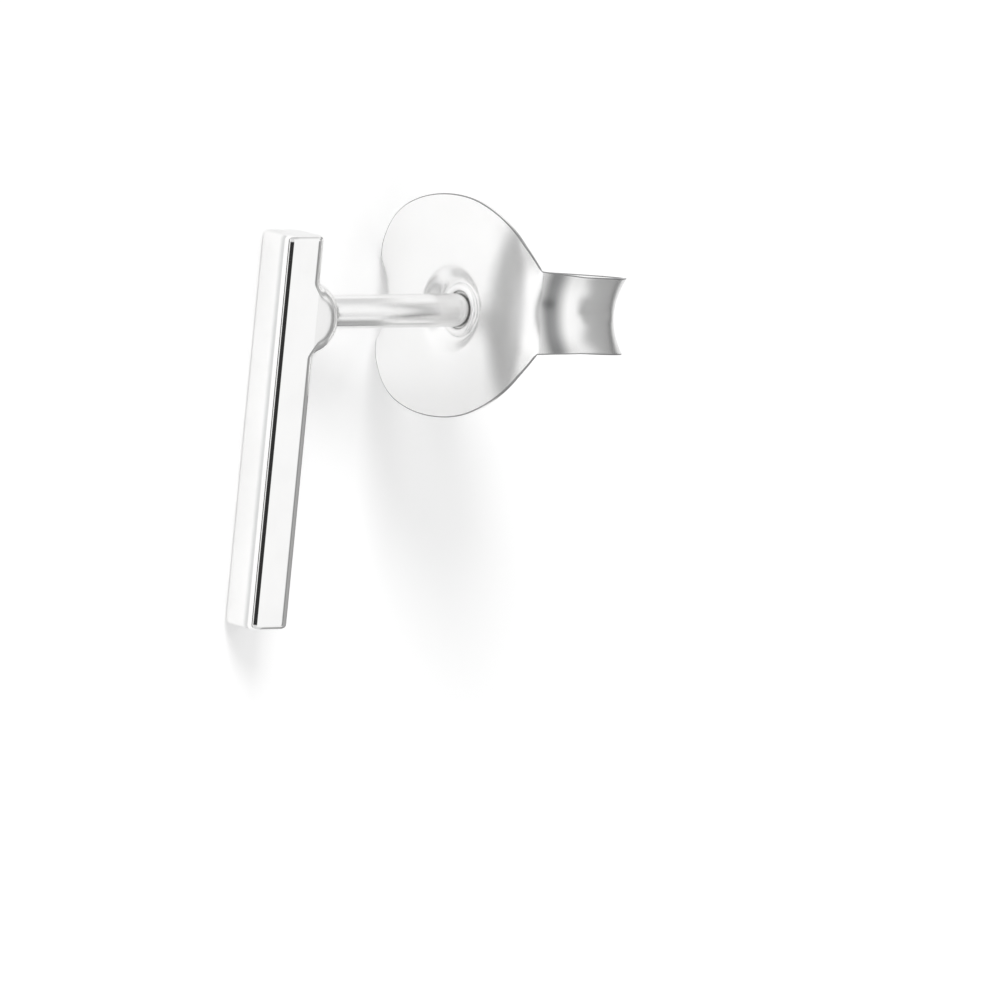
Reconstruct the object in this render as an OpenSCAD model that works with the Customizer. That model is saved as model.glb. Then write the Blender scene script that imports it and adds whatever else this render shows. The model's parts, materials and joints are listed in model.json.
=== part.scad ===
// Bar ear stud with its butterfly clutch, lying on its side at rest, in millimetres.
// The pieces are drawn as worn: the bar upright along Z, the post along +Y from the
// bar's axis, the wearer's ear between bar and clutch. lay_down() then tips the stud
// over onto the floor at z = 0, as it comes to rest when it is put down.

/* [Bar] */
// Length of the bar
bar_length = 9.5; // [6:0.1:20]
// Side of the bar's rounded square section
bar_width = 1.2; // [1:0.05:1.6]
// Radius of the bar's four long edges
bar_edge_radius = 0.3; // [0.1:0.05:0.45]
// Radius of the rim at each end of the bar
bar_rim_radius = 0.12; // [0.05:0.01:0.2]

/* [Post] */
// Diameter of the post
post_diameter = 0.8; // [0.6:0.05:1]
// Length of the post behind the bar
post_length = 9.2; // [8:0.1:14]
// Distance from the bar's top end to the post's axis
post_drop = 1.92; // [1.2:0.02:4]
// Radius of the rim of the post's tip
post_tip_radius = 0.15; // [0.05:0.01:0.25]
// Distance from the post's tip to the middle of its friction notch
notch_from_tip = 1.17; // [0.8:0.01:1.4]
// Length of the friction notch along the post
notch_length = 0.7; // [0.55:0.05:0.9]
// Depth of the friction notch
notch_depth = 0.06; // [0.03:0.01:0.1]

/* [Solder] */
// Radius of the ball of solder that holds the post
solder_radius = 0.93; // [0.7:0.01:1.1]
// Height of the solder behind the bar
solder_height = 0.77; // [0.4:0.01:0.9]
// How far the solder has run down below the post's axis
solder_sag = 0.11; // [0:0.01:0.2]

/* [Clutch plate] */
// Thickness of the clutch's sheet
sheet = 0.12; // [0.08:0.01:0.2]
// Width of the plate's outline across the two scrolls
plate_width = 6; // [5.4:0.01:6.6]
// Height of the plate over its two lobes
plate_height = 5.45; // [4.4:0.01:6]
// How far the lobes' outline stands out beyond an oval between its axes
lobe_fullness = 0.04; // [0:0.005:0.06]
// How far the plate's rim stands towards the ear from its middle line
rim_rise = 0.24; // [0.1:0.01:0.4]
// Gap between the bar's back and the plate's middle line
clutch_gap = 4.58; // [3.5:0.02:4.8]
// Radius of the bow by which the plate turns towards the scrolls
bow_radius = 3.4; // [2.6:0.1:4]
// Angle of that bow
bow_angle = 20; // [14:1:22]
// Radius of the dimple round the hole
dimple_radius = 1.15; // [0.9:0.05:1.25]
// Depth of the dimple away from the ear
dimple_depth = 0.36; // [0.1:0.01:0.4]
// Diameter of the collar round the plate's hole
collar_diameter = 1.28; // [1.2:0.02:1.5]
// Height of the collar above the dimple's floor
collar_height = 0.15; // [0.1:0.01:0.3]
// Running clearance round the post in the collar
bore_gap = 0.04; // [0.02:0.01:0.08]
// Angle by which the clutch is turned on the post
clutch_turn = 6; // [0:0.1:12]
// Angle by which the clutch leans back at its top
clutch_lean = 2.6; // [0:0.1:3]

/* [Clutch scrolls] */
// Width of each strip where it leaves the plate
strip_root = 2; // [1.6:0.05:2.4]
// Width of each strip from its shoulder to its end
strip_end = 1.84; // [1.4:0.05:2.2]
// Radius of the bend at the strip's root
bend_radius = 0.9; // [0.6:0.05:1.2]
// Radius of the shoulder where the strip turns backwards
shoulder_radius = 1.2; // [0.8:0.05:1.5]
// How far the shoulders stand out past the plate's outline
shoulder_reach = 0.1; // [0:0.01:0.2]
// Radius of the scroll's long outer wall
wall_radius = 2.54; // [2:0.02:3]
// Radius of the curl at the strip's end
curl_radius = 0.5; // [0.3:0.02:0.6]
// Angle through which the strip's end curls
curl_turn = 160; // [90:5:200]
// Depth of the channel pressed into each strip for the post
channel_depth = 0.26; // [0.05:0.01:0.3]
// Running clearance between post and scrolls
grip_gap = 0.04; // [0.02:0.01:0.08]

/* [Hidden] */
$fn = 64;

bar_half = bar_width / 2;
post_radius = post_diameter / 2;
post_end = bar_half + post_length;
plate_y = bar_half + clutch_gap;
// The solder ball's centre lies inside the bar, and the ball is dressed flush with its sides
solder_y = bar_half + solder_height - solder_radius;
notch_radius = (pow(notch_length / 2, 2) + pow(notch_depth, 2)) / (2 * notch_depth);
collar_radius = collar_diameter / 2;
collar_hole = post_radius + bore_gap;
collar_rim = (collar_radius - collar_hole) / 2;

// Headings of the sheet's middle line, 0 running outwards along X, at the ends of its arcs
bend_heading = 60;
shoulder_heading = 90;
wall_heading = 139;
post_heading = 270;
// Steps of the sheet's grid along the lobes and along each arc of the strip
lobe_steps = 12;
bend_steps = 2;
shoulder_steps = 3;
wall_steps = 4;
roll_steps = 9;
curl_steps = 6;
// Columns across the sheet, closer together at its middle line
columns = 12;

function outward(heading) = [sin(heading), -cos(heading)];
// Where an arc that starts at a point with one heading arrives with another
function along(start, radius, from, to) = start + radius * (outward(to) - outward(from));

// The arcs touch one another in turn. The flat middle takes the width that they leave, and
// the roll is as large as it takes to end beside the post
shoulder_x = plate_width / 2 + shoulder_reach;
flat_half = shoulder_x - along([0, 0], shoulder_radius, bend_heading, shoulder_heading).x
    - along([0, 0], bend_radius, bow_angle, bend_heading).x
    - along([0, 0], bow_radius, 0, bow_angle).x;
grip_x = post_radius + grip_gap + sheet / 2;
roll_radius = (grip_x - along([shoulder_x, 0], wall_radius, shoulder_heading, wall_heading).x)
    / along([0, 0], 1, wall_heading, post_heading).x;
bow_start = [flat_half, 0];
bend_start = along(bow_start, bow_radius, 0, bow_angle);
shoulder_start = along(bend_start, bend_radius, bow_angle, bend_heading);
wall_start = along(shoulder_start, shoulder_radius, bend_heading, shoulder_heading);
roll_start = along(wall_start, wall_radius, shoulder_heading, wall_heading);
curl_start = along(roll_start, roll_radius, wall_heading, post_heading);

// Polar radius of the two lobes, widest across the scrolls
function lobe(angle) = (plate_width + plate_height) / 4
    + (plate_width - plate_height) / 4 * cos(2 * angle) - lobe_fullness * cos(4 * angle);
// Angle at which a lobe's edge meets the strip
function root_angle(angle = 20, rounds = 8) = rounds == 0 ? angle
    : root_angle(asin(strip_root / 2 / lobe(angle)), rounds - 1);
function blend(a, b, share) = a + (b - a) * share;
// Heading of the middle line at a distance from the plate's centre
function bowed(x) = x < flat_half ? 0 : x < bend_start.x ? asin((x - flat_half) / bow_radius)
    : asin(sin(bow_angle) + (x - bend_start.x) / bend_radius);
function on_plate(x) = x < flat_half ? [x, 0]
    : x < bend_start.x ? along(bow_start, bow_radius, 0, bowed(x))
    : along(bend_start, bend_radius, bow_angle, bowed(x));

lobe_end = root_angle();
root_x = lobe(lobe_end) * cos(lobe_end);
root_heading = bowed(root_x);

// A station is [x, y, heading, half width, rim rise] on the sheet's middle line
function station(p, heading) =
    let (share = min(1, (heading - root_heading) / (shoulder_heading - root_heading)))
    [p.x, p.y, heading, blend(strip_root, strip_end, share) / 2,
        blend(rim_rise, channel_depth, share)];
function arc(start, radius, from, to, steps) = [for (i = [1 : steps])
    let (heading = blend(from, to, i / steps)) station(along(start, radius, from, heading), heading)];

stations = concat(
    [for (i = [0 : lobe_steps]) let (a = blend(90, lobe_end, i / lobe_steps), x = lobe(a) * cos(a))
        [x, on_plate(x).y, bowed(x), lobe(a) * sin(a), rim_rise]],
    arc(on_plate(root_x), bend_radius, root_heading, bend_heading, bend_steps),
    arc(shoulder_start, shoulder_radius, bend_heading, shoulder_heading, shoulder_steps),
    arc(wall_start, wall_radius, shoulder_heading, wall_heading, wall_steps),
    arc(roll_start, roll_radius, wall_heading, post_heading, roll_steps),
    arc(curl_start, curl_radius, post_heading, post_heading + curl_turn, curl_steps));
last = len(stations) - 1;

// The clutch leans about the point where its scrolls hold the post, which brings the hole
// in the plate a little below the plate's middle
grip_y = curl_start.y;
hole_z = -grip_y * sin(clutch_lean);

// The dimple falls away smoothly from its radius to the collar's
function eased(t) = t * t * (3 - 2 * t);
function dimple(distance) = dimple_depth
    * eased(min(1, max(0, (dimple_radius - distance) / (dimple_radius - collar_radius))));
function spread(t) = t * (0.55 + 0.45 * t * t);
// A point of the sheet in the clutch's own frame: row counts stations from the left curl's
// end to the right one's, and face is 1 on the outside of the scrolls and -1 inside
function sheet_point(row, column, face) =
    let (side = row < last ? -1 : 1, s = stations[abs(row - last)],
        across = spread(2 * column / columns - 1), z = s[3] * across, m = outward(s[2]),
        sunk = s[2] < shoulder_heading ? dimple(norm([s.x, z - hole_z])) : 0,
        off = s[4] * across * across - sunk + face * sheet / 2)
    [side * (s.x + m.x * off), s.y + m.y * off, z];
// Turns and leans a point with the clutch, and moves it to its place on the post
function placed(p) =
    let (y = grip_y + (p.y - grip_y) * cos(clutch_lean) + p.z * sin(clutch_lean),
        z = p.z * cos(clutch_lean) - (p.y - grip_y) * sin(clutch_lean))
    [p.x * cos(clutch_turn) - z * sin(clutch_turn), y + plate_y,
        z * cos(clutch_turn) + p.x * sin(clutch_turn)];

rows = 2 * last;
sheet_points = [for (face = [1, -1], row = [0 : rows], column = [0 : columns])
    placed(sheet_point(row, column, face))];
function at(face, row, column) = (face * (rows + 1) + row) * (columns + 1) + column;
function two(a, b, c, d) = [[a, b, c], [a, c, d]];
sheet_faces = [
    for (row = [0 : rows - 1], column = [0 : columns - 1])
        each two(at(0, row, column), at(0, row, column + 1),
            at(0, row + 1, column + 1), at(0, row + 1, column)),
    for (row = [0 : rows - 1], column = [0 : columns - 1])
        each two(at(1, row, column), at(1, row + 1, column),
            at(1, row + 1, column + 1), at(1, row, column + 1)),
    for (row = [0 : rows - 1])
        each two(at(0, row, 0), at(0, row + 1, 0), at(1, row + 1, 0), at(1, row, 0)),
    for (row = [0 : rows - 1])
        each two(at(0, row, columns), at(1, row, columns),
            at(1, row + 1, columns), at(0, row + 1, columns)),
    for (column = [0 : columns - 1])
        each two(at(0, 0, column), at(1, 0, column), at(1, 0, column + 1), at(0, 0, column + 1)),
    for (column = [0 : columns - 1])
        each two(at(0, rows, column), at(0, rows, column + 1),
            at(1, rows, column + 1), at(1, rows, column))];

// The floor touches the bar's rounded edge and the lowest point of the clutch
edge_centre = -[1, 1] * (bar_half - bar_edge_radius);
function floor_angle(p) = let (d = [p.x, p.y] - edge_centre)
    atan2(d.y, d.x) - acos(-bar_edge_radius / norm(d));
rest_angle = max([for (p = sheet_points) floor_angle(p)]);
floor_up = [cos(rest_angle), sin(rest_angle), 0];
floor_out = [-sin(rest_angle), cos(rest_angle), 0];
floor_level = edge_centre * [floor_up.x, floor_up.y] - bar_edge_radius;
// Reach of the whole stud along the floor, from which its middle follows
bar_reach = (bar_half - bar_edge_radius) * (floor_out.y - floor_out.x) + bar_edge_radius;
tip_reach = (post_end - post_tip_radius) * floor_out.y
    - (post_radius - post_tip_radius) * floor_out.x + post_tip_radius;
out_reach = max(tip_reach, max([for (p = sheet_points) p * floor_out]));
top_reach = max(post_drop, max([for (p = sheet_points) p.z]));
foot_reach = min(post_drop - bar_length, min([for (p = sheet_points) p.z]));

module lay_down() {
    multmatrix([
        [floor_out.x, floor_out.y, 0, (bar_reach - out_reach) / 2],
        [0, 0, 1, -(top_reach + foot_reach) / 2],
        [floor_up.x, floor_up.y, 0, -floor_level]])
        children();
}

// A rectangle about the origin with exact round corners
module rounded(width, height, radius) {
    square([width - 2 * radius, height], center = true);
    square([width, height - 2 * radius], center = true);
    for (x = [-1, 1], y = [-1, 1])
        translate([x * (width / 2 - radius), y * (height / 2 - radius)]) circle(radius);
}

module prism(width, height, radius, length) {
    linear_extrude(length, center = true) rounded(width, height, radius);
}

module bar() {
    // The long edges are rounded along Z, and the rims of the ends along X and along Y
    translate([0, 0, post_drop - bar_length / 2]) intersection() {
        prism(bar_width, bar_width, bar_edge_radius, bar_length);
        rotate([90, 0, 0]) prism(bar_width, bar_length, bar_rim_radius, bar_width);
        rotate([90, 0, 90]) prism(bar_width, bar_length, bar_rim_radius, bar_width);
    }
}

module solder() {
    intersection() {
        translate([0, solder_y, -solder_sag]) sphere(solder_radius);
        translate([-bar_half, bar_half - bar_edge_radius, -2 * solder_radius])
            cube([bar_width, 2 * solder_radius, 4 * solder_radius]);
    }
}

// A round rod that stands on the origin, with a rounded rim at its top
module round_rod(radius, height, rim) {
    rotate_extrude() {
        square([radius, height - rim]);
        square([radius - rim, height]);
        translate([radius - rim, height - rim]) circle(rim);
    }
}

module post() {
    // The rod starts inside the bar, and the notch goes all the way round it
    rotate([-90, 0, 0]) difference() {
        round_rod(post_radius, post_end, post_tip_radius);
        translate([0, 0, post_end - notch_from_tip]) rotate_extrude()
            translate([post_radius - notch_depth + notch_radius, 0]) circle(notch_radius);
    }
}

module collar() {
    // The hole's rim, drawn up towards the ear out of the dimple and rounded over
    translate([0, plate_y, 0]) rotate([0, -clutch_turn, 0]) rotate([-clutch_lean, 0, 0])
        translate([0, dimple_depth, 0]) rotate([90, 0, 0])
            round_rod(collar_radius, collar_height + sheet / 2, collar_rim);
}

module bar_stud() {
    color("silver") lay_down() union() {
        bar();
        solder();
        post();
    }
}

module butterfly_clutch() {
    color("gainsboro") lay_down() difference() {
        union() {
            polyhedron(sheet_points, sheet_faces);
            collar();
        }
        // The hole runs along the post, whatever the clutch's lean
        translate([0, plate_y + dimple_depth, 0]) rotate([90, 0, 0])
            cylinder(r = collar_hole, h = 4 * collar_height + 2 * sheet, center = true);
    }
}

bar_stud();
butterfly_clutch();
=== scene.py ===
import json
import math

import bpy
import numpy as np
from mathutils import Matrix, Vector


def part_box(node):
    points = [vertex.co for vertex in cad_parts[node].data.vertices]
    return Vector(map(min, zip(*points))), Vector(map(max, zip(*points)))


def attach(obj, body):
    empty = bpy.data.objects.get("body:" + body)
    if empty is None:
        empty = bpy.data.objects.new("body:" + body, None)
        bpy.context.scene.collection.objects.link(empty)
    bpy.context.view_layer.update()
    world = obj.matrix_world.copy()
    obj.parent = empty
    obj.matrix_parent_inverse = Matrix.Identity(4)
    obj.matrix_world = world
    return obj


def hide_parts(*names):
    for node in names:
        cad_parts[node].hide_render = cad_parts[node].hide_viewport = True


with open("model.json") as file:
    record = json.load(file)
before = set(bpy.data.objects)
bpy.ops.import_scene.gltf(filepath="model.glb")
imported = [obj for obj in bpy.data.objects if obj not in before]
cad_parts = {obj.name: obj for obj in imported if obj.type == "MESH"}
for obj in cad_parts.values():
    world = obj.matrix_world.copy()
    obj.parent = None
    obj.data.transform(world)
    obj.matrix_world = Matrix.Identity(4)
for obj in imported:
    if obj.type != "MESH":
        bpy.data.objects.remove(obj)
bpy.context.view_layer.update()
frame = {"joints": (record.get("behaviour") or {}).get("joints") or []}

# The bar: a 9.5 mm length of square silver with rounded edges, polished like a mirror. The
# stud's post is soldered to its back near the top, and the blob of solder has run a little
# down the bar before it set. Its sides were dressed flush with the bar's.
bar_length, bar_half, bar_edge, bar_rim = 9.5, 0.6, 0.3, 0.12
post_drop, post_radius = 1.92, 0.4
solder_ball, solder_y, solder_z = 0.93, 0.44, -0.11
solder_half, solder_dressing, solder_blend = 0.6, 0.16, 0.16

# Sizes are in millimetres as worn, the bar upright along Z and the post along +Y, and this
# turns them into the frame's metres, with the stud lying on its side
slide = frame["joints"][0]["axis"]
low_x, low_y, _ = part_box("bar_stud")[0]
floor_out = np.array([-slide[2], slide[0], 0.0])
floor_up = np.array([slide[0], slide[2], 0.0])
edge_reach = (bar_half - bar_edge) * (slide[0] + slide[2]) + bar_edge
laid_at = np.array([1000 * low_x + edge_reach, 1000 * low_y + bar_length - post_drop, edge_reach])


def laid(worn):
    return np.stack([worn @ floor_out, worn[..., 2], worn @ floor_up], axis=-1)


def make_piece(name, points, faces):
    mesh = bpy.data.meshes.new(name)
    mesh.from_pydata(
        ((laid(points) + laid_at) / 1000).tolist(), [], [list(map(int, face)) for face in faces]
    )
    mesh.validate()
    mesh.shade_smooth()
    piece = bpy.data.objects.new(name, mesh)
    bpy.context.scene.collection.objects.link(piece)
    return piece


def rings_to_faces(rings, around):
    """Quads between rings of points that close on themselves, and a face over each end."""
    quads = [
        (a + i, a + (i + 1) % around, a + around + (i + 1) % around, a + around + i)
        for a in range(0, (rings - 1) * around, around)
        for i in range(around)
    ]
    return quads + [range(around - 1, -1, -1), range((rings - 1) * around, rings * around)]


def square_ring(half, edge):
    """Points round a rounded square, anticlockwise, with a point near each end of its sides."""
    corner_steps, side_shares = 14, (0.08, 0.5, 0.92)
    ring = []
    for begin in (0, 90, 180, 270):
        middle, turn = np.radians(begin + 45), np.radians(begin + 90)
        centre = (half - edge) * math.sqrt(2) * np.array([math.cos(middle), math.sin(middle)])
        angles = np.radians(np.linspace(begin, begin + 90, corner_steps + 1))
        ring += [centre + edge * np.array([math.cos(a), math.sin(a)]) for a in angles]
        start = ring[-1]
        run = 2 * (half - edge) * np.array([-math.sin(turn), math.cos(turn)])
        ring += [start + share * run for share in side_shares]
    return np.array(ring)


def soft_union(a, b, reach):
    """The nearer of two skins, with the crease between them filled in."""
    near = np.clip(1 - np.abs(a - b) / reach, 0, 1)
    return np.minimum(a, b) - near**2 * reach / 4


def solder_distance(x, y, z):
    ball = np.sqrt(x**2 + (y - solder_y) ** 2 + (z - solder_z) ** 2) - solder_ball
    return -soft_union(-ball, solder_half - np.abs(x), solder_dressing)


def bar_distance(x, y):
    out = np.abs(np.stack([x, y])) - (bar_half - bar_edge)
    return np.hypot(*np.maximum(out, 0)) + np.minimum(out.max(axis=0), 0) - bar_edge


# A skin is found by halving the way from inside the bar to a place past the solder
halvings, past_solder = 40, 1.6


def with_solder(ring, z):
    """The back of the bar's section moved out from its middle line to the solder's skin."""
    length = np.hypot(*ring.T)
    way = ring / length[:, None]
    inner, outer = length - 0.01, np.full_like(length, past_solder)
    for _ in range(halvings):
        middle = (inner + outer) / 2
        x, y = way[:, 0] * middle, way[:, 1] * middle
        skin = soft_union(bar_distance(x, y), solder_distance(x, y, z), solder_blend)
        dressed = np.maximum(skin, np.abs(x) - bar_half)
        inside = np.where(y > 0, dressed, bar_distance(x, y)) < 0
        inner, outer = np.where(inside, middle, inner), np.where(inside, outer, middle)
    return way * inner[:, None]


def end_rings(end, inward):
    """From the middle of one end of the bar out over its rounded rim."""
    shares = np.array([0.02, 0.35, 0.7, 0.93, 0.99]) * (bar_half - bar_rim) / bar_half
    rings = [(share * square_ring(bar_half, bar_edge), end) for share in shares]
    for a in np.radians(np.linspace(0, 90, 10)):
        inset = bar_rim * (1 - math.sin(a))
        level = end + inward * bar_rim * (1 - math.cos(a))
        rings.append((square_ring(bar_half - inset, bar_edge - inset), level))
    return rings


# A ring just past each rim keeps the rim's shading off the long sides. Plain rings follow,
# further apart, and close ones where the solder is.
past_rim, solder_step = 0.16, 0.03
bar_top, bar_foot = post_drop, post_drop - bar_length
solder_low = solder_z - solder_ball - solder_blend
solder_high = solder_z + solder_ball + solder_blend
below_solder = np.linspace(bar_foot + 0.5, solder_low - 0.2, 12)
section = square_ring(bar_half, bar_edge)
bar_rings = end_rings(bar_foot, 1)
bar_rings += [(section, z) for z in (bar_foot + past_rim, *below_solder)]
bar_rings += [(with_solder(section, z), z) for z in np.arange(solder_low, solder_high, solder_step)]
bar_rings += [(section, z) for z in (1.2, 1.5, bar_top - past_rim)]
bar_rings += end_rings(bar_top, -1)[::-1]
bar_points = np.concatenate(
    [np.column_stack([ring, np.full(len(section), z)]) for ring, z in bar_rings]
)
bar_faces = rings_to_faces(len(bar_rings), len(section))


class Wire:
    """A shader socket that Python's own sums can be written on."""

    def __init__(self, tree, socket=None):
        self.tree, self.socket = tree, socket

    def node(self, kind, settings, inputs, output=0):
        made = self.tree.nodes.new(kind)
        for name, value in settings.items():
            setattr(made, name, value)
        for name, value in inputs.items():
            if isinstance(value, Wire):
                self.tree.links.new(value.socket, made.inputs[name])
            else:
                made.inputs[name].default_value = value
        return Wire(self.tree, made.outputs[output])

    def math(self, operation, first, second=0.0):
        return self.node("ShaderNodeMath", {"operation": operation}, {0: first, 1: second})

    def __add__(self, other):
        return self.math("ADD", self, other)

    def __sub__(self, other):
        return self.math("SUBTRACT", self, other)

    def __rsub__(self, other):
        return self.math("SUBTRACT", other, self)

    def __mul__(self, other):
        return self.math("MULTIPLY", self, other)

    __radd__, __rmul__ = __add__, __mul__

    def dot(self, way):
        return self.node(
            "ShaderNodeVectorMath",
            {"operation": "DOT_PRODUCT"},
            {0: self, 1: tuple(way)},
            output="Value",
        )

    def rise(self, low, high, from_value=0.0, to_value=1.0):
        """Eases from one value to the other while the socket goes from low to high."""
        return self.node(
            "ShaderNodeMapRange",
            {"interpolation_type": "SMOOTHSTEP"},
            {
                "Value": self,
                "From Min": low,
                "From Max": high,
                "To Min": from_value,
                "To Max": to_value,
            },
        )

    def fall(self, low, high):
        return self.rise(low, high, 1.0, 0.0)

    def between(self, low, high, soft):
        return self.rise(low - soft, low + soft) * self.fall(high - soft, high + soft)

    def tint(self, first, second):
        """From a colour or a colour's socket to another colour, this socket being the share."""
        if not isinstance(first, Wire):
            first = (*first, 1.0)
        return self.node(
            "ShaderNodeMix",
            {"data_type": "RGBA"},
            {"Factor": self, 6: first, 7: (*second, 1.0)},
            output=2,
        )


def measured(place, *way):
    """How far along a direction of the worn stud a point lies, in millimetres."""
    laid_way = laid(np.array(way))
    return place.dot(1000 * laid_way) - float(laid_at @ laid_way)


def silver(name, bright, shaded, roughness, haze, line_scale, line_depth, painted_shade=None):
    """Polished sterling silver: fine polishing lines, a breath of haze and faint cloudiness, and
    painted shade where a mask for it is given.
    """
    material = bpy.data.materials.new(name)
    material.use_nodes = True
    tree = material.node_tree
    tree.nodes.clear()
    start = Wire(tree)
    place = start.node("ShaderNodeTexCoord", {}, {}, "Object")
    along = start.node("ShaderNodeMapping", {}, {"Vector": place, "Scale": line_scale})
    cloud = start.node(
        "ShaderNodeTexNoise", {}, {"Vector": place, "Scale": 900.0, "Detail": 3.0}
    )
    lines = start.node("ShaderNodeTexNoise", {}, {"Vector": along, "Scale": 1.0, "Detail": 4.0})
    worn = cloud.rise(0.35, 0.7)
    scratched = lines.rise(0.52, 0.66)
    colour = worn.tint(bright, shaded)
    # Painted shade: a darker colour laid over the silver where the mask is high
    if painted_shade:
        shade_mask, shade_colour = painted_shade(place)
        colour = shade_mask.tint(colour, shade_colour)
    relief = start.node(
        "ShaderNodeBump", {}, {"Height": lines, "Strength": 1.0, "Distance": line_depth}
    )
    shader = start.node(
        "ShaderNodeBsdfPrincipled",
        {},
        {
            "Base Color": colour,
            "Metallic": 1.0,
            "Specular Tint": (0.87, 0.87, 0.87, 1.0),
            "Roughness": roughness + haze * worn + 0.5 * haze * scratched,
            "Normal": relief,
        },
    )
    tree.nodes.new("ShaderNodeOutputMaterial")
    tree.links.new(shader.socket, tree.nodes["Material Output"].inputs["Surface"])
    return material


def painted_edge_shade(place):
    """A painted grey band along the bar's front edge, standing in for the shade it reflects there,
    and its colour.
    """
    across, forward = measured(place, 1.0, 0.0, 0.0), measured(place, 0.0, -1.0, 0.0)
    shade_band = across.rise(0.2, 0.36) * across.fall(0.372, 0.4)
    return 0.75 * shade_band * forward.rise(0.5, 0.56), (0.55, 0.552, 0.555)


# How finely the polishing lines lie along the frame's X, Y and Z
drawn_lines, brushed_lines, outline_lines = (30000, 900, 30000), (3000,) * 3, (9000,) * 3
# The bar's silver carries a painted grey band of reflected shade along its front edge
stud_silver = silver(
    "stud_silver",
    bright=(0.945, 0.943, 0.94),
    shaded=(0.92, 0.918, 0.914),
    roughness=0.035,
    haze=0.02,
    line_scale=drawn_lines,
    line_depth=1.5e-8,
    painted_shade=painted_edge_shade,
)
# The solder was only brushed, so that it shines more softly than the bar
solder_silver = silver(
    "solder_silver",
    bright=(0.95, 0.948, 0.945),
    shaded=(0.93, 0.928, 0.924),
    roughness=0.16,
    haze=0.01,
    line_scale=brushed_lines,
    line_depth=1e-8,
)
bar = make_piece("bar_with_solder", bar_points, bar_faces)
bar.data.materials.append(stud_silver)
bar.data.materials.append(solder_silver)
brushed_from = bar_half - 0.14
for number, face in enumerate(bar_faces):
    x, y, z = bar_points[list(face)].mean(axis=0)
    on_solder = y > brushed_from and solder_distance(x, y, z) < bar_distance(x, y)
    bar.data.polygons[number].material_index = int(on_solder)
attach(bar, "stud")
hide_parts("bar_stud")

# The post: 0.8 mm round silver wire, soldered to the bar's back. The solder has crept a little
# way up it in a hollow fillet. Its free end is rounded, and behind it a shallow waist is
# rolled in, in which the clutch clicks home.
post_end, tip_round = 9.8, 0.15
notch_y, notch_half, notch_depth = 8.63, 0.35, 0.06
fillet, fillet_hollow, fillet_sunk = 0.06, 1.6, 0.02
fillet_from, fillet_to = 0.7, 1.7
shank_rings = (1.46, 1.8, 3.0, 5.0, 8.0)
post_around = 96
angles = np.arange(post_around) * 2 * np.pi / post_around
post_way = np.stack([np.sin(angles), np.cos(angles)])
post_rings = []
for share in np.linspace(1, 0, 15):
    radius = post_radius + fillet * share**fillet_hollow
    x, z = radius * post_way
    near, far = np.full(post_around, fillet_from), np.full(post_around, fillet_to)
    for _ in range(halvings):
        y = (near + far) / 2
        ball = solder_distance(x, y, z)
        # On the post itself the fillet ends where the two skins stop blending
        skin = soft_union(ball, radius - post_radius, fillet) if share else ball - fillet
        near, far = np.where(skin < 0, y, near), np.where(skin < 0, far, y)
    sunk = fillet_sunk if share == 1 else 0.0
    post_rings.append(np.stack([x, near - sunk, z], axis=1))
notch_radius = (notch_half**2 + notch_depth**2) / (2 * notch_depth)
notch_ys = notch_y + notch_half * np.linspace(-1, 1, 17)
notch_floor = post_radius - notch_depth + notch_radius
tip_y, tip_radius = post_end - tip_round, post_radius - tip_round
post_profile = [(y, post_radius) for y in shank_rings]
for y in notch_ys:
    post_profile.append((y, notch_floor - math.sqrt(notch_radius**2 - (y - notch_y) ** 2)))
post_profile.append((tip_y - 0.03, post_radius))
for a in np.radians(np.linspace(0, 90, 10)):
    post_profile.append((tip_y + tip_round * math.sin(a), tip_radius + tip_round * math.cos(a)))
post_profile += [(post_end, share * tip_radius) for share in (0.96, 0.6, 0.05)]
for y, radius in post_profile:
    x, z = radius * post_way
    post_rings.append(np.stack([x, np.full(post_around, y), z], axis=1))
post_silver = silver(
    "post_silver",
    bright=(0.955, 0.953, 0.95),
    shaded=(0.94, 0.938, 0.934),
    roughness=0.22,
    haze=0.04,
    line_scale=drawn_lines,
    line_depth=1.5e-8,
)
post = make_piece(
    "post", np.concatenate(post_rings), rings_to_faces(len(post_rings), post_around)
)
post.data.materials.append(post_silver)
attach(post, "stud")

# The clutch: one blank of bright 0.12 mm silver sheet. Two round lobes are dished towards the
# ear, the middle is dimpled round a drawn hole with a rolled collar, and a strip at each side
# bends back and rolls up into a scroll that grips the post in the channel pressed along it.
sheet, sheet_bevel = 0.12, 0.028
plate_from_bar = 5.18
plate_width, plate_height, lobe_fullness = 6.0, 5.45, 0.04
rim_rise, channel_depth = 0.24, 0.26
strip_root, strip_end = 2.0, 1.84
dimple_radius, dimple_depth = 1.15, 0.36
collar_radius, collar_hole, collar_height = 0.64, 0.44, 0.15
clutch_turn, clutch_lean = np.radians(6), np.radians(2.6)
grip_gap, shoulder_reach = 0.04, 0.1
grip_x = post_radius + grip_gap + sheet / 2
shoulder_x = plate_width / 2 + shoulder_reach

# The middle line of the sheet runs flat across the plate, and then in arcs: the bow of its
# sides, the bend into the strip, the strip's shoulder, its back, the roll up to the post and
# the curl inside. Each has a radius and the heading where it ends, in degrees.
bow, bend, shoulder, back, curl = 3.4, 0.9, 1.2, 2.54, 0.5
bow_end, bend_end, shoulder_end, back_end, roll_end, curl_end = 20, 60, 90, 139, 270, 430


def outward(heading):
    return np.array([math.sin(heading), -math.cos(heading)])


def out_by(radius, begin, end):
    return radius * (math.sin(math.radians(end)) - math.sin(math.radians(begin)))


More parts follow.
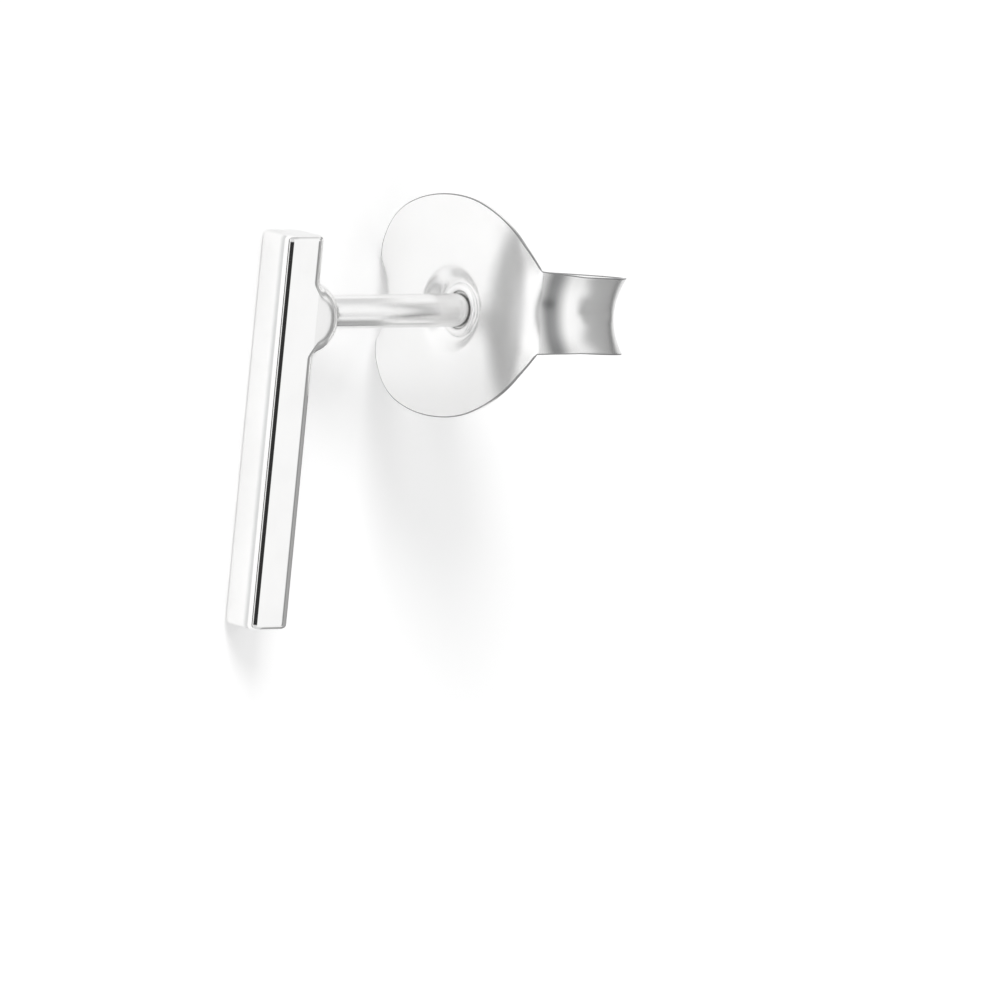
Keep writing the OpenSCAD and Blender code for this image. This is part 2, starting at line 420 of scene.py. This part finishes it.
flat_half = shoulder_x - out_by(bow, 0, bow_end) - out_by(bend, bow_end, bend_end)
flat_half -= out_by(shoulder, bend_end, shoulder_end)
roll = (grip_x - shoulder_x - out_by(back, shoulder_end, back_end)) / out_by(1, back_end, roll_end)
arc_radii = (bow, bend, shoulder, back, roll, curl)
arc_ends = np.radians([bow_end, bend_end, shoulder_end, back_end, roll_end, curl_end])
arc_starts, heading = [np.array([flat_half, 0.0])], 0.0
for radius, end in zip(arc_radii, arc_ends):
    arc_starts.append(arc_starts[-1] + radius * (outward(end) - outward(heading)))
    heading = end
grip_y = arc_starts[5][1]
hole_z = -(grip_y - dimple_depth) * math.tan(clutch_lean)


def lobe(angle):
    mean, swing = (plate_width + plate_height) / 4, (plate_width - plate_height) / 4
    return mean + swing * np.cos(2 * angle) - lobe_fullness * np.cos(4 * angle)


# A lobe ends where it is as high as the strip's root is
lobe_end = math.radians(20)
for _ in range(20):
    lobe_end = math.asin(strip_root / 2 / lobe(lobe_end))
root_x = lobe(lobe_end) * math.cos(lobe_end)
# Half the plate's height at each distance from its middle, as a finely spaced line
outline_angles = np.linspace(lobe_end, np.pi / 2, 400)
outline_x = lobe(outline_angles) * np.cos(outline_angles)
outline_half = lobe(outline_angles) * np.sin(outline_angles)


def bowed(x):
    """The plate's middle line at a distance from its middle: how far back, and its heading."""
    bend_x, bend_y = arc_starts[1]
    on_bow = x < bend_x
    rise = np.where(on_bow, (x - flat_half) / bow, math.sin(arc_ends[0]) + (x - bend_x) / bend)
    heading = np.arcsin(np.clip(rise, 0, 1))
    along_bow = bow * (1 - np.cos(heading))
    along_bend = bend_y + bend * (math.cos(arc_ends[0]) - np.cos(heading))
    return np.where(on_bow, along_bow, along_bend), heading


def placed(x, y, z):
    """From the clutch's own frame to the stud's, leaned and turned as it sits on the post."""
    behind = grip_y + (y - grip_y) * math.cos(clutch_lean) + z * math.sin(clutch_lean)
    up = z * math.cos(clutch_lean) - (y - grip_y) * math.sin(clutch_lean)
    turned_x = x * math.cos(clutch_turn) - up * math.sin(clutch_turn)
    turned_z = up * math.cos(clutch_turn) + x * math.sin(clutch_turn)
    return np.stack([turned_x, behind + plate_from_bar, turned_z], axis=-1)


def eased(t):
    t = np.clip(t, 0, 1)
    return t * t * (3 - 2 * t)


def plate_point(x, z, face):
    """A point of the plate: face runs from 1 on the side towards the ear to -1 on the back."""
    side, x = np.where(x < 0, -1, 1), np.abs(x)
    half = np.interp(x, outline_x[::-1], outline_half[::-1])
    y, heading = bowed(x)
    from_hole = np.hypot(x, z - hole_z)
    sunk = dimple_depth * eased((dimple_radius - from_hole) / (dimple_radius - collar_radius))
    off = rim_rise * (z / half) ** 2 - sunk + face * sheet / 2
    return side * (x + np.sin(heading) * off), y - np.cos(heading) * off, z


# The cut edge of the sheet: how far in from its outline, and the face, from front to back
edge_front = []
for a in np.radians(np.linspace(90, 0, 5)):
    off_face = 2 * sheet_bevel / sheet * (1 - math.sin(a))
    edge_front.append((sheet_bevel * (1 - math.cos(a)), 1 - off_face))
edge_line = edge_front + [(inset, -face) for inset, face in reversed(edge_front)]
# Between its two rounded corners the cut is flat and keeps the plain bright silver; the rounded
# corners carry a painted dark outline
cut_row = len(edge_line) // 2 - 1

# The outline, anticlockwise from the right strip's lower corner: a root line, a lobe, and again
strip_columns, lobe_columns = 36, 110
root_zs = np.linspace(-1, 1, strip_columns + 1) * (strip_root / 2)
lobe_angles = np.linspace(lobe_end, np.pi - lobe_end, lobe_columns + 1)[1:-1]
outline = [(root_x, z) for z in root_zs]
outline += [(lobe(a) * math.cos(a), lobe(a) * math.sin(a)) for a in lobe_angles]
outline += [(-root_x, z) for z in root_zs[::-1]]
outline += [(-lobe(a) * math.cos(a), -lobe(a) * math.sin(a)) for a in lobe_angles]
outline = np.array(outline)
count = len(outline)
right_root = np.arange(strip_columns + 1)
left_root = right_root + strip_columns + 1 + len(lobe_angles)
step = np.roll(outline, -1, axis=0) - np.roll(outline, 1, axis=0)
outline_out = np.stack([step[:, 1], -step[:, 0]], axis=1) / np.hypot(*step.T)[:, None]
# At a root line the sheet runs on into the strip, so only its two corners have an edge, which
# faces along the strip's width
for root in (right_root, left_root):
    outline_out[root] = 0
    for corner in (root[0], root[-1]):
        outline_out[corner] = (0, np.sign(outline[corner, 1]))

# The collar, from its foot in the dimple over its round rim to the inside of the hole
collar_flare, collar_slope, collar_round = 0.09, 0.6, (collar_radius - collar_hole) / 2
crown = sheet / 2 + collar_height - collar_round
collar_profile = []
for a in np.radians(np.linspace(-70, 0, 5)):
    foot_radius = collar_radius + collar_flare * (1 - math.cos(a))
    foot_lift = collar_slope * collar_flare * (1 + math.sin(a))
    collar_profile.append((foot_radius, sheet / 2 + foot_lift))
for a in np.radians(np.linspace(0, 180, 15)):
    rim_radius = collar_hole + collar_round * (1 + math.cos(a))
    collar_profile.append((rim_radius, crown + collar_round * math.sin(a)))

# The rings run from circles round the hole to the outline's form. Two are kept a little apart
# from their neighbours: the collar's foot, and the hole's lip on the back.
collar_foot, hole_lip = 0.11, 0.02
hole_angles = np.arctan2(outline[:, 1] - hole_z, outline[:, 0])
hole_way = np.stack([np.cos(hole_angles), np.sin(hole_angles)], axis=1)
hole_centre = np.array([0, hole_z])
dimple_reach = dimple_radius + 0.05
dimple_edge = hole_centre + dimple_reach * hole_way
rim_points = outline - sheet_bevel * outline_out
points, faces, bevels = [], [], set()


def add_ring(ring):
    points.append(ring)
    return sum(len(r) for r in points[:-1])


def plate_ring(flat, face, lift=0.0):
    """A ring of the plate, lifted towards the ear, from its points on the flat blank."""
    x, y, z = plate_point(*flat.T, face)
    return add_ring(placed(x, y - lift, z))


# From the back of the hole, through it and over the collar, then out over the front, round the
# cut edge, and in again over the back
ring_starts = []
hole_profile = [(collar_hole, hole_lip - sheet / 2), (collar_hole, 0.0), *collar_profile[::-1]]
for radius, lift in hole_profile:
    ring_starts.append(plate_ring(hole_centre + radius * hole_way, 0.0, lift))
for radius in np.linspace(collar_radius + collar_foot, dimple_reach, 16):
    ring_starts.append(plate_ring(hole_centre + radius * hole_way, 1.0))
for share in np.linspace(0, 1, 26)[1:]:
    ring_starts.append(plate_ring(dimple_edge + (rim_points - dimple_edge) * share, 1.0))
front_row = len(ring_starts) - 1
for inset, face in edge_line[1:-1]:
    ring_starts.append(plate_ring(outline - inset * outline_out, face))
back_row = len(ring_starts)
for share in np.linspace(1, 0, 26):
    ring_starts.append(plate_ring(dimple_edge + (rim_points - dimple_edge) * share, -1.0))
for radius in np.linspace(dimple_reach, collar_hole + hole_lip, 20)[1:]:
    ring_starts.append(plate_ring(hole_centre + radius * hole_way, -1.0))
root_spans = {*right_root[:-1], *left_root[:-1]}
for k, start in enumerate(ring_starts):
    following = ring_starts[(k + 1) % len(ring_starts)]
    on_edge = front_row <= k < back_row
    for i in range(count):
        if on_edge and i in root_spans:
            continue
        if on_edge and k - front_row != cut_row:
            bevels.add(len(faces))
        j = (i + 1) % count
        faces.append((start + i, following + i, following + j, start + j))

# The strips, section by section from their roots, with the number of sections along each arc.
# A short groove is pressed in the back of each, and eases in and out again.
root_heading = float(bowed(np.array([root_x]))[1][0])
groove_from, groove_to, groove_half, groove_depth = math.radians(91), math.radians(131), 0.26, 0.035
groove_in, groove_out = 0.2, 0.3
end_reach, end_thinned = 0.02, 0.6
sections = []
arc_from = root_heading
for number, steps in ((1, 8), (2, 12), (3, 24), (4, 60), (5, 50)):
    begin, end = arc_ends[number - 1], arc_ends[number]
    for a in np.linspace(arc_from, end, steps + 1)[1:]:
        share = min(1.0, (a - root_heading) / (arc_ends[2] - root_heading))
        x, y = arc_starts[number] + arc_radii[number] * (outward(a) - outward(begin))
        half = (strip_root + (strip_end - strip_root) * share) / 2
        sections.append((x, y, a, half, rim_rise + (channel_depth - rim_rise) * share, 0.0, 1.0))
    arc_from = end
# The last one again, a little further on and thinner, rounds the strip's cut end
sections.append((*sections[-1][:5], end_reach, end_thinned))


def strip_loop(half, squeeze):
    """Round a strip's section: across its outside, round a cut edge, back, and round the other."""
    columns = np.linspace(-1, 1, strip_columns + 1) * (half - sheet_bevel)
    edge = [(half - inset, face) for inset, face in edge_line[1:-1]]
    loop = [(z, 1) for z in columns] + edge + [(z, -1) for z in columns[::-1]]
    loop += [(-z, -face) for z, face in edge]
    return (np.array(loop) * (1, squeeze)).T


for side, root in ((1, right_root), (-1, left_root[::-1])):
    # The loop of the plate's own points at the root, in the order of the strip's loops
    edge_starts = ring_starts[front_row + 1 : back_row]
    previous = [ring_starts[front_row] + i for i in root]
    previous += [start + root[-1] for start in edge_starts]
    previous += [ring_starts[back_row] + i for i in root[::-1]]
    previous += [start + root[0] for start in edge_starts[::-1]]
    for x, y, a, half, rise, beyond, squeeze in sections:
        z, face = strip_loop(half, squeeze)
        pressed = eased((a - groove_from) / groove_in) * eased((groove_to - a) / groove_out)
        groove = groove_depth * pressed * eased(1 - np.abs(z) / groove_half)
        off = rise * (z / half) ** 2 - groove + face * sheet / 2
        out_x, out_y = outward(a)
        strip_x = side * (x + out_x * off + beyond * math.cos(a))
        begin = add_ring(placed(strip_x, y + out_y * off + beyond * math.sin(a), z))
        current = list(range(begin, begin + len(z)))
        for i in range(len(z)):
            j = (i + 1) % len(z)
            edge_row = i % (len(z) // 2) - strip_columns
            if edge_row >= 0 and edge_row != cut_row:
                bevels.add(len(faces))
            quad = (previous[i], current[i], current[j], previous[j])
            faces.append(quad if side > 0 else quad[::-1])
        previous = current
    faces.append(previous if side < 0 else previous[::-1])


def painted_fold_shade(place):
    """Painted shade on the bends between plate and strip, standing in for the dark reflected there,
    and its colour.
    """
    across = measured(place, math.cos(clutch_turn), 0.0, math.sin(clutch_turn))
    upright = measured(place, -math.sin(clutch_turn), 0.0, math.cos(clutch_turn))
    behind = measured(place, 0.0, 1.0, 0.0)
    reach = across - 0.2 * (upright * upright)
    plate_shade = reach.rise(1.0, 1.7) * across.fall(2.3, 2.65) * behind.fall(6.1, 6.4)
    strip_shade = across.rise(2.7, 2.8) * behind.rise(5.42, 5.7) * behind.fall(5.76, 6.16)
    return 0.48 * plate_shade + 0.95 * strip_shade, (0.3, 0.303, 0.305)


# The clutch's silver carries painted shade on the bends between its plate and strips
clutch_silver = silver(
    "clutch_silver",
    bright=(0.975, 0.974, 0.972),
    shaded=(0.955, 0.953, 0.95),
    roughness=0.26,
    haze=0.006,
    line_scale=brushed_lines,
    line_depth=1e-8,
    painted_shade=painted_fold_shade,
)
# The sheared blank's rounded corners are painted dark grey: painted shade that draws a dark outline
# round the plate and strips
bevel_silver = silver(
    "bevel_silver",
    bright=(0.36, 0.362, 0.365),
    shaded=(0.28, 0.28, 0.28),
    roughness=0.4,
    haze=0.1,
    line_scale=outline_lines,
    line_depth=2e-8,
)
clutch = make_piece("clutch", np.concatenate(points), faces)
clutch.data.materials.append(clutch_silver)
clutch.data.materials.append(bevel_silver)
# The cut edge's rounded corners take the painted dark outline
for face in bevels:
    clutch.data.polygons[face].material_index = 1
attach(clutch, "clutch")
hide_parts("butterfly_clutch")

# The table top that the stud lies on: a large flat sheet of matt white card. It glows a little,
# as card on a lit glass table does, so that it's as white as the cloths of the tent.
reach = 2
floor_mesh = bpy.data.meshes.new("floor")
floor_mesh.from_pydata(
    [(-reach, -reach, 0), (reach, -reach, 0), (reach, reach, 0), (-reach, reach, 0)],
    [],
    [(0, 1, 2, 3)],
)
floor = bpy.data.objects.new("floor", floor_mesh)
bpy.context.scene.collection.objects.link(floor)
card = bpy.data.materials.new("white_card")
card.use_nodes = True
for name, value in {
    "Base Color": (0.9, 0.9, 0.9, 1),
    "Roughness": 0.9,
    "Specular IOR Level": 0.0,
    "Emission Color": (1, 1, 1, 1),
    "Emission Strength": 0.165,
}.items():
    card.node_tree.nodes["Principled BSDF"].inputs[name].default_value = value
floor_mesh.materials.append(card)

# The light tent: white cloth all round. Each gap between its cloths has its place round the
# upright bar in degrees from straight in front of it, how soft its sides are, its lowest and
# highest level, how soft those are, and how bright it is.
gaps = [
    (24.3, 31.5, 0.4, -0.9, 0.6, 0.1, 0.05),
    (39.5, 75, 2.0, -0.21, -0.07, 0.03, 0.04),
    (39.5, 75, 5.0, -0.75, 0.7, 0.14, 0.8),
    (133.5, 147, 1.5, -0.34, 0.0, 0.08, 0.3),
    (146, 206, 6.0, -0.8, 0.5, 0.12, 0.4),
    (193, 206, 3.0, -0.8, 0.5, 0.12, 0.3),
    (222, 236, 4.0, -0.1, 0.25, 0.05, 0.86),
]
world = bpy.data.worlds.new("light_tent")
bpy.context.scene.world = world
world.use_nodes = True
world.node_tree.nodes.clear()
start = Wire(world.node_tree)
ray = start.node("ShaderNodeTexCoord", {}, {}, "Generated")
ray_x, ray_y, ray_z = (ray.dot(laid(axis)) for axis in np.eye(3))
# From 0 to 360 degrees, so that no gap lies across the seam
bearing = start.math("ARCTAN2", 0 - ray_x, ray_y) * math.degrees(1) + 180
light = ray_z.rise(-0.8, -0.35, 0.75, 1.0) * ray_z.rise(0.5, 0.85, 1.0, 0.65)
for begin, end, side_soft, low, high, level_soft, bright in gaps:
    gap = bearing.between(begin, end, side_soft) * ray_z.between(low, high, level_soft)
    light = light * (1 - (1 - bright) * gap)
tent = start.node("ShaderNodeBackground", {}, {"Color": (1, 1, 1, 1), "Strength": light})
world.node_tree.nodes.new("ShaderNodeOutputWorld")
world.node_tree.links.new(tent.socket, world.node_tree.nodes["World Output"].inputs["Surface"])

# The lamp that gives the pale shadow: a wide soft one beyond the bar's top. A flag shades it
# from the silver, which mirrors the tent alone.
lamp_data = bpy.data.lights.new("soft_lamp", "SUN")
lamp_data.energy, lamp_data.angle = 1.9, math.radians(26)
lamp = bpy.data.objects.new("soft_lamp", lamp_data)
lamp.rotation_euler = (0, math.radians(66), math.radians(133))
lamp.visible_glossy = False
bpy.context.scene.collection.objects.link(lamp)

# The camera: a long lens far off, on its side as the stud lies, so that the bar stands nearly
# upright in the picture. It looks 49 degrees off the bar's front, from 8 degrees above.
turn, lift, tilt = (math.radians(angle) for angle in (49, 8.0, 5.65))
pixels_per_mm, picture, distance, sensor = 42.05, 1000, 450.0, 36.0
# Where the post's axis meets the bar's, in pixels from the picture's upper left corner
post_start = np.array([286.2, 312.3])
sight_x, sight_y = math.sin(turn) * math.cos(lift), -math.cos(turn) * math.cos(lift)
sight = np.array([sight_x, sight_y, math.sin(lift)])
level_right = np.array([math.cos(turn), math.sin(turn), 0.0])
level_up = np.cross(sight, level_right)
right = math.cos(tilt) * level_right + math.sin(tilt) * level_up
up = math.cos(tilt) * level_up - math.sin(tilt) * level_right
off_x, off_y = (picture / 2 - post_start) / pixels_per_mm
eye = off_x * right - off_y * up + distance * sight
camera_data = bpy.data.cameras.new("camera")
camera_data.sensor_width = sensor
camera_data.lens = sensor * distance * pixels_per_mm / picture
camera_data.clip_start, camera_data.clip_end = 0.01, 10.0
camera = bpy.data.objects.new("camera", camera_data)
camera_turn = Matrix(laid(np.array([right, up, sight])).T.tolist()).to_4x4()
camera.matrix_world = Matrix.Translation((laid(eye) + laid_at) / 1000) @ camera_turn
bpy.context.scene.collection.objects.link(camera)
bpy.context.scene.camera = camera
bpy.context.scene.view_settings.view_transform = "Standard"
